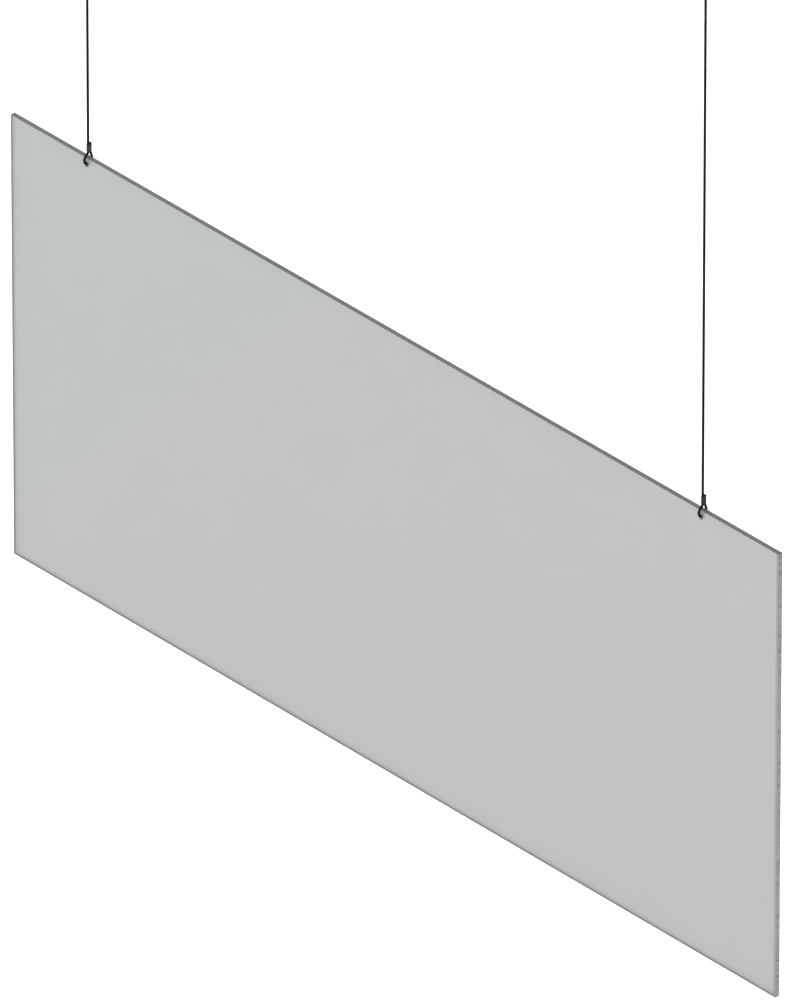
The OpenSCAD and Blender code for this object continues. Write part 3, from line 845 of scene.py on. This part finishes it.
def sheet_finish():
    """Face of the sheet: grey translucent acrylic with a satin skin, a faint painted reflection as
    a cool cast towards the upper left, and the slight unevenness of its etch. A narrow rim of the
    face along the ends and the bottom is darkened by painted shade, standing for light that enters
    by the top edge and leaks out by the others."""
    material, tree, shader = finish_material("satin_acrylic_face")
    x, _, z = components(tree, object_point(tree))
    # Painted reflection: a cool cast on the upper left, its border moved by noise
    drift = maths(tree, "MULTIPLY", noise(tree, detail=3, scale=(9, 9, 9)), REFLECTION_DRIFT)
    above = maths(tree, "ADD", z, maths(tree, "MULTIPLY", x, -REFLECTION_SLOPE))
    painted_reflection = spread(tree, maths(tree, "ADD", above, drift),
                  (-REFLECTION_FROM, -REFLECTION_FROM + REFLECTION_FADE), FULL)
    painted_reflection = maths(tree, "MULTIPLY", painted_reflection, spread(tree, x, REFLECTION_LEFT, FULL))
    mottle = noise(tree, detail=4, scale=(30, 30, 30))
    grey = blend_colours(tree, mottle, SHEET_GREY, tuple(MOTTLE_LIGHT * c for c in SHEET_GREY))
    # Painted shade: the face's rim goes darker along the ends and the bottom
    end_rim, bottom_rim = sheet_high[0] * MM - RIM_REACH, sheet_low[2] * MM + RIM_REACH
    shade_at_end = spread(tree, maths(tree, "ABSOLUTE", x), (end_rim, end_rim + RIM_FADE), (0, RIM_SHADE_ENDS))
    shade_at_bottom = spread(tree, z, (bottom_rim - RIM_FADE, bottom_rim), (RIM_SHADE_BOTTOM, 0))
    grey_with_reflection = blend_colours(tree, painted_reflection, grey, SHEET_REFLECTION_TINT)
    colour = blend_colours(tree, maths(tree, "MAXIMUM", shade_at_end, shade_at_bottom), grey_with_reflection, SHEET_RIM_SHADE)
    tree.links.new(colour, shader.inputs["Base Color"])
    shader.inputs["Transmission Weight"].default_value = 0.6
    shader.inputs["IOR"].default_value = ACRYLIC_IOR
    tree.links.new(spread(tree, mottle, NOISE_SPAN, FACE_ROUGH), shader.inputs["Roughness"])
    grain = noise(tree, detail=2, scale=(2500, 2500, 2500))
    tree.links.new(bump(tree, grain, strength=0.12, distance=0.00003), shader.inputs["Normal"])
    return material


EDGE_DARK, EDGE_LIGHT = (0.045, 0.046, 0.046), (0.36, 0.365, 0.365)
# Painted shade: factors on each edge's tone for how light falls on it, the bottom and the top
# darker than the ends
EDGE_SHADE_TONES = {"top": 0.25, "bottom": 0.10, "ends": 1.3}   # factors on the share of light
EDGE_NEAR, EDGE_CLEAR = 0.0008, 0.001      # a long edge's tone holds as far as the first, in metres
SAW_STREAKS = (900, 30, 900)               # scale of the streaks: long through the thickness
STREAK_SHARE, SLOW_SHARE = 0.7, 0.3        # shares of the streaks and of the slow drift in the tone


def edge_finish():
    """Sawn and scraped edge of the sheet: darker grey, with fine streaks along the thickness and a
    soft shine. The long edges are darker than the ends by painted shade, the bottom edge most."""
    material, tree, shader = finish_material("scraped_acrylic_edge")
    _, _, z = components(tree, object_point(tree))
    streaks = noise(tree, detail=3, scale=SAW_STREAKS)
    slow = noise(tree, detail=2, scale=(14, 14, 14))
    streaked = spread(tree, streaks, NOISE_SPAN, FULL)
    tone = maths(tree, "ADD", maths(tree, "MULTIPLY", streaked, STREAK_SHARE),
                 maths(tree, "MULTIPLY", slow, SLOW_SHARE))
    # Painted shade: the top and bottom edges go darker than the ends
    top_z, bottom_z = sheet_high[2] * MM, sheet_low[2] * MM
    shade_at_top = spread(tree, z, (top_z - EDGE_CLEAR, top_z - EDGE_NEAR),
                    (EDGE_SHADE_TONES["ends"], EDGE_SHADE_TONES["top"]))
    shade_at_bottom = spread(tree, z, (bottom_z + EDGE_NEAR, bottom_z + EDGE_CLEAR),
                       (EDGE_SHADE_TONES["bottom"], EDGE_SHADE_TONES["ends"]))
    tone = maths(tree, "MULTIPLY", tone, maths(tree, "MULTIPLY", shade_at_top, shade_at_bottom))
    tree.links.new(blend_colours(tree, tone, EDGE_DARK, EDGE_LIGHT), shader.inputs["Base Color"])
    tree.links.new(spread(tree, streaks, NOISE_SPAN, EDGE_ROUGH), shader.inputs["Roughness"])
    shader.inputs["IOR"].default_value = ACRYLIC_IOR
    tree.links.new(bump(tree, streaks, strength=0.15, distance=0.00004), shader.inputs["Normal"])
    return material


finishes = {"plated": plated, "zinc": zinc, "button": button_steel, "spring": spring_wire}
for piece, finish in metal:
    piece.data.materials.append(finishes[finish])
rope_black = rope_finish()
for side in SIDES:
    for piece, _, _ in ropes[side]:
        piece.data.materials.append(rope_black)
    ferrules[side].data.materials.append(ferrule_black)
    for ball_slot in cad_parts[f"gripping_balls_{side}"].material_slots:
        ball_slot.material = ball_polish
panel.data.materials.append(sheet_finish())
panel.data.materials.append(edge_finish())


# ---------------------------------------------------------------------------
# Floor, background and lamps
# ---------------------------------------------------------------------------

FLOOR_Z, FLOOR_REACH = -2.4, 60.0          # in metres
FLOOR_GLOW = 0.6         # what the floor adds where it is seen as background: white but for shadows
FLOOR_PALE, FLOOR_ROUGH = (0.8, 0.8, 0.8, 1), 0.9
AMBIENT_COLOUR, AMBIENT_STRENGTH = (0.97, 0.985, 1, 1), 0.55
BACKGROUND_WHITE, BACKGROUND_STRENGTH = (1, 1, 1, 1), 1


def seen_as_background(tree):
    """1 for rays that look at the background directly, in a reflection or through the sheet."""
    path = tree.nodes.new("ShaderNodeLightPath").outputs
    seen = maths(tree, "MAXIMUM", path["Is Camera Ray"], path["Is Glossy Ray"])
    return maths(tree, "MAXIMUM", seen, path["Is Transmission Ray"])


def background(tree, colour, strength):
    """Background shader of a colour and strength."""
    node = tree.nodes.new("ShaderNodeBackground")
    node.inputs["Color"].default_value = colour
    node.inputs["Strength"].default_value = strength
    return node.outputs[0]


world = bpy.data.worlds.new("studio")
bpy.context.scene.world = world
world.use_nodes = True
tree = world.node_tree
tree.nodes.clear()
surround = blend_shaders(tree, seen_as_background(tree),
                         background(tree, AMBIENT_COLOUR, AMBIENT_STRENGTH),
                         background(tree, BACKGROUND_WHITE, BACKGROUND_STRENGTH))
tree.links.new(surround, tree.nodes.new("ShaderNodeOutputWorld").inputs[0])

# The floor is lit up for rays that see it as background, and clear from below
floor_material, tree, shader = finish_material("pale_floor")
shader.inputs["Base Color"].default_value = FLOOR_PALE
shader.inputs["Roughness"].default_value = FLOOR_ROUGH
glow = tree.nodes.new("ShaderNodeEmission")
glow.inputs["Strength"].default_value = FLOOR_GLOW
lifted = tree.nodes.new("ShaderNodeAddShader")
tree.links.new(shader.outputs[0], lifted.inputs[0])
tree.links.new(glow.outputs[0], lifted.inputs[1])
upper = blend_shaders(tree, seen_as_background(tree), shader.outputs[0], lifted.outputs[0])
from_below = tree.nodes.new("ShaderNodeNewGeometry").outputs["Backfacing"]
clear = tree.nodes.new("ShaderNodeBsdfTransparent").outputs[0]
one_sided = blend_shaders(tree, from_below, upper, clear)
tree.links.new(one_sided, tree.nodes["Material Output"].inputs[0])

floor_mesh = bpy.data.meshes.new("floor")
floor_mesh.from_pydata([(x * FLOOR_REACH, y * FLOOR_REACH, FLOOR_Z)
                        for x, y in ((-1, -1), (1, -1), (1, 1), (-1, 1))], [], [(0, 1, 2, 3)])
floor_mesh.materials.append(floor_material)
in_scene("floor", floor_mesh)

LAMP_AIM = Vector((0, 0, -0.7))            # the sheet's upper half and the ropes
LAMPS = [                # name, place, size, power and colour
    ("key_softbox", (3.2, -3.4, 0.6), 3.4, 128, (1, 0.99, 0.975)),
    ("back_softbox", (-3.0, 3.6, 0.8), 3.4, 115, (0.98, 0.99, 1)),
    ("left_softbox", (-3.4, -2.2, -0.2), 2.8, 68, (0.97, 0.985, 1)),
]
for name, place, size, power, colour in LAMPS:
    light = bpy.data.lights.new(name, "AREA")
    light.size, light.energy, light.color = size, power, colour
    lamp = in_scene(name, light)
    lamp.location = place
    turn_to(lamp, Vector(place) - LAMP_AIM, "Z")

bpy.context.scene.view_settings.view_transform = "Standard"
